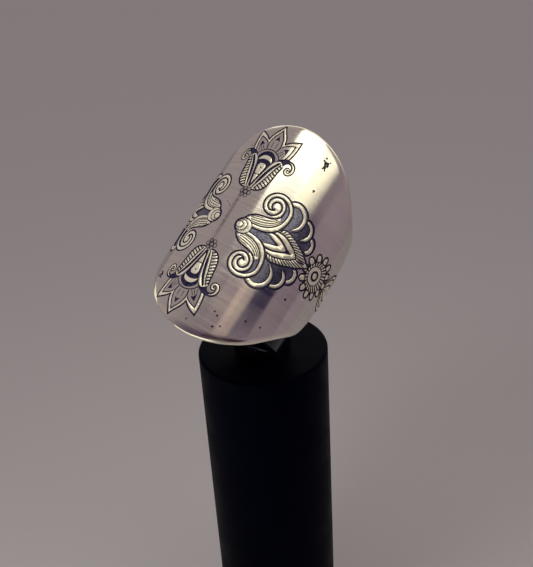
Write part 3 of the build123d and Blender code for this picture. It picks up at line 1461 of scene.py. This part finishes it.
def paper_sheet(name: str, size: Point, place: Spot, turn: Matrix, finish: PaperFinish) -> bpy.types.Object:
    """A flat four-sided sheet of paper.

    Args:
        name: its name.
        size: its two sides in millimetres.
        place: its middle in millimetres.
        turn: how it is turned from lying flat.
        finish: what it is made of.

    Returns:
        The sheet, at the origin, with its place in its mesh.
    """
    x, y = size[0] / 2, size[1] / 2
    corners = [(turn @ Vector((i * x, j * y, 0)) + Vector(place)) * MM for i, j in QUARTERS]
    mesh = bpy.data.meshes.new(name)
    mesh.from_pydata(corners, [], [(0, 1, 2, 3)])
    sheet = added(name, mesh)
    wear(sheet, finish.material())
    return sheet


class Reach(Enum):
    """What a light is for: whether it shades matt surfaces and whether it shows in reflections."""

    ALL = (True, True)
    SHADING = (True, False)
    REFLECTION = (False, True)


@dataclass(frozen=True)
class SoftLight:
    """One softbox: where it hangs in millimetres, its size, power in watts and colour."""

    name: str
    place: Spot
    size: Point
    power: float
    colour: Tint
    towards: Spot
    spin: float = 0.0
    reach: Reach = Reach.REFLECTION

    def build(self) -> None:
        """Adds the light, hidden from the camera."""
        light = bpy.data.lights.new(self.name, "AREA")
        light.shape = "RECTANGLE"
        light.size, light.size_y = self.size[0] * MM, self.size[1] * MM
        light.energy = self.power
        light.color = self.colour
        holder = added(self.name, light)
        holder.location = Vector(self.place) * MM
        holder.rotation_euler = facing(self.place, self.towards, self.spin).to_euler()
        holder.visible_camera = False
        holder.visible_diffuse, holder.visible_glossy = self.reach.value


@dataclass(frozen=True)
class Card:
    """A matt card that the silver reflects, in millimetres, hidden from the camera."""

    name: str
    place: Spot
    size: Point
    towards: Spot
    spin: float
    colour: Colour

    def build(self) -> bpy.types.Object:
        """Adds the card, which throws no shadow and no light on matt surfaces.

        Returns:
            The card, for the stage.
        """
        turn = facing(self.place, self.towards, self.spin)
        card = paper_sheet(self.name, self.size, self.place, turn, PaperFinish(self.name, self.colour))
        card.visible_camera = False
        card.visible_diffuse = False
        card.visible_shadow = False
        return card


@dataclass(frozen=True)
class Studio:
    """Floor, even surrounding light, softboxes, cards and the camera at the photo's angle."""

    floor_side: float = 18000.0
    paper: PaperFinish = PaperFinish()
    surround: Colour = (0.335, 0.287, 0.293, 1)
    backdrop: Colour = (0.223, 0.188, 0.195, 1)
    behind_camera: Colour = (0.085, 0.062, 0.1, 1)
    dark_side: Spot = (-0.26, -0.96, -0.05)
    dark_range: Point = (0.1, 0.95)
    lights: tuple[SoftLight, ...] = (
        # The plate's white band, and the creamy step beside it
        SoftLight(
            "key", (11.6, -22.0, 144.4), (52.0, 23.5), 0.0082, (1.0, 0.98, 0.76),
            (6.1, -1.8, 87.7), -43.8, Reach.ALL,
        ),
        SoftLight(
            "step", (48.6, -41.4, 132.3), (42.0, 22.0), 0.0046, (1.0, 0.965, 0.68),
            (6.1, -1.8, 87.7), -32.0, Reach.ALL,
        ),
        # The same two carried on, for the plate's domed top rim
        SoftLight(
            "top_rim_glow", (28.9, 7.4, 153.2), (52.0, 47.0), 0.012, (1.0, 0.98, 0.8),
            (23.4, 27.6, 96.5), -43.8,
        ),
        SoftLight(
            "side_rim_glow", (48.0, -17.0, 154.5), (42.0, 44.0), 0.005, (1.0, 0.97, 0.75),
            (5.5, 22.6, 109.9), -32.0,
        ),
        # Light from above for the motifs, which are partly matt
        SoftLight(
            "fill", (-30.0, -32.0, 128.0), (20.0, 20.0), 0.025, (1.0, 0.98, 0.9),
            (-30.0, -32.0, 0.0), 0.0, Reach.SHADING,
        ),
        # The pale edges at the lower left and left, and the glow in the back of the bore
        SoftLight(
            "floor_glow", (-58.0, -64.0, 3.0), (150.0, 90.0), 0.05, (1.0, 0.97, 0.84),
            (-8.0, -14.0, 70.0),
        ),
        SoftLight(
            "edge_glow", (-58.2, 31.2, 68.0), (20.0, 24.0), 0.0011, (1.0, 0.98, 0.66),
            (-12.8, -8.5, 75.5),
        ),
        SoftLight(
            "back_glow", (190.0, 380.0, 270.0), (760.0, 320.0), 0.6, (1.0, 0.98, 0.86),
            (0.0, 4.0, 84.0),
        ),
        # The tan band left of the dark streak, and its soft left side
        SoftLight(
            "tan_glow", (19.1, -57.1, 110.6), (13.0, 22.0), 0.00025, (1.0, 0.72, 0.5),
            (-6.9, -14.2, 77.7), 31.0,
        ),
        SoftLight(
            "tan_wash", (6.6, -53.0, 125.8), (14.0, 38.0), 0.00023, (1.0, 0.7, 0.62),
            (-19.4, -10.1, 92.9), 31.0,
        ),
    )
    cards: tuple[Card, ...] = (
        # The dark streak, and the shade that fades to its right
        Card(
            "side_card", (33.9, -39.3, 91.9), (19.0, 22.0), (-2.0, -13.8, 76.2), 31.0,
            (0.004, 0.0, 0.1, 1),
        ),
        Card(
            "shade_card", (45.3, -36.1, 74.1), (24.0, 60.0), (10.0, -11.0, 58.6), 31.0,
            (0.62, 0.54, 0.66, 1),
        ),
        # The thin dark line down the plate's middle
        Card(
            "line_card", (-51.8, 9.4, 148.3), (18.0, 5.0), (-3.4, -4.9, 83.0), 147.8,
            (0.10, 0.06, 0.13, 1),
        ),
        # The pinkish right side, and the dark line along the lower rim
        Card(
            "right_card", (77.8, -38.8, 73.8), (100.0, 100.0), (6.0, -8.0, 86.0), 0.0,
            (0.74, 0.66, 0.78, 1),
        ),
        Card(
            "front_card", (15.0, -73.4, 77.6), (80.0, 24.0), (-5.2, -16.0, 72.5), -40.0,
            (0.05, 0.008, 0.03, 1),
        ),
    )
    eye: Spot = (1.0807, -106.448, 131.231)
    look_down: float = 29.82
    roll: float = -3.67
    focal: float = 900.0
    picture: tuple[int, int] = (533, 567)
    sensor: float = 36.0

    def build(self) -> list[bpy.types.Object]:
        """Sets the whole stage.

        Returns:
            The floor and the cards.
        """
        flat = Matrix.Identity(3)
        size = (self.floor_side, self.floor_side)
        staged = [paper_sheet("studio_floor", size, (0.0, 0.0, 0.0), flat, self.paper)]
        self.room()
        for light in self.lights:
            light.build()
        staged += [card.build() for card in self.cards]
        self.camera()
        return staged

    def room(self) -> None:
        """Surrounds the scene with even light, dimmer behind the photographer, before a plain backdrop."""
        world = bpy.data.worlds.new("surround")
        world.use_nodes = True
        graph = Graph(world.node_tree)
        way = graph.node("TexCoord").outputs["Generated"]
        facing_back = graph.node("VectorMath", {0: way, 1: self.dark_side}, operation="DOT_PRODUCT")
        share = graph.spread(facing_back.outputs["Value"], *self.dark_range)
        light = graph.mix(share, self.surround, self.behind_camera)
        light = graph.mix(graph.node("LightPath").outputs["Is Camera Ray"], light, self.backdrop)
        graph.feed(world.node_tree.nodes["Background"], {"Color": light})
        bpy.context.scene.world = world

    def camera(self) -> None:
        """Puts the camera where the photo was taken from, with its tilt and slight roll."""
        down, roll = np.radians((self.look_down, self.roll))
        forward = np.array([0, np.cos(down), -np.sin(down)])
        right, up = np.array([1.0, 0, 0]), np.array([0, np.sin(down), np.cos(down)])
        right, up = np.cos(roll) * right + np.sin(roll) * up, np.cos(roll) * up - np.sin(roll) * right
        turn = Matrix(np.column_stack([right, up, -forward]).tolist())
        lens = bpy.data.cameras.new("camera")
        lens.sensor_width = self.sensor
        lens.lens = self.focal / max(self.picture) * self.sensor
        lens.clip_start = 0.01
        holder = added("camera", lens)
        holder.matrix_world = Matrix.Translation(Vector(self.eye) * MM) @ turn.to_4x4()
        bpy.context.scene.camera = holder


def report(pieces: Sequence[bpy.types.Object]) -> None:
    """Logs each piece with its number of faces and its size in millimetres.

    Args:
        pieces: what was built.
    """
    for piece in pieces:
        size = [round(side / MM, 2) for side in piece.dimensions]
        LOG.info("%s: %d faces, %s mm", piece.name, len(piece.data.polygons), size)


def main() -> None:
    """Builds the ring, dresses the stand and sets the stage."""
    logging.basicConfig(level=logging.INFO, format="%(name)s %(message)s")
    scene = bpy.context.scene
    scene.view_settings.view_transform = "Standard"
    for assembly in (SilverRing(), BlackStand(), Studio()):
        report(assembly.build())


if __name__ == "__main__":
    main()
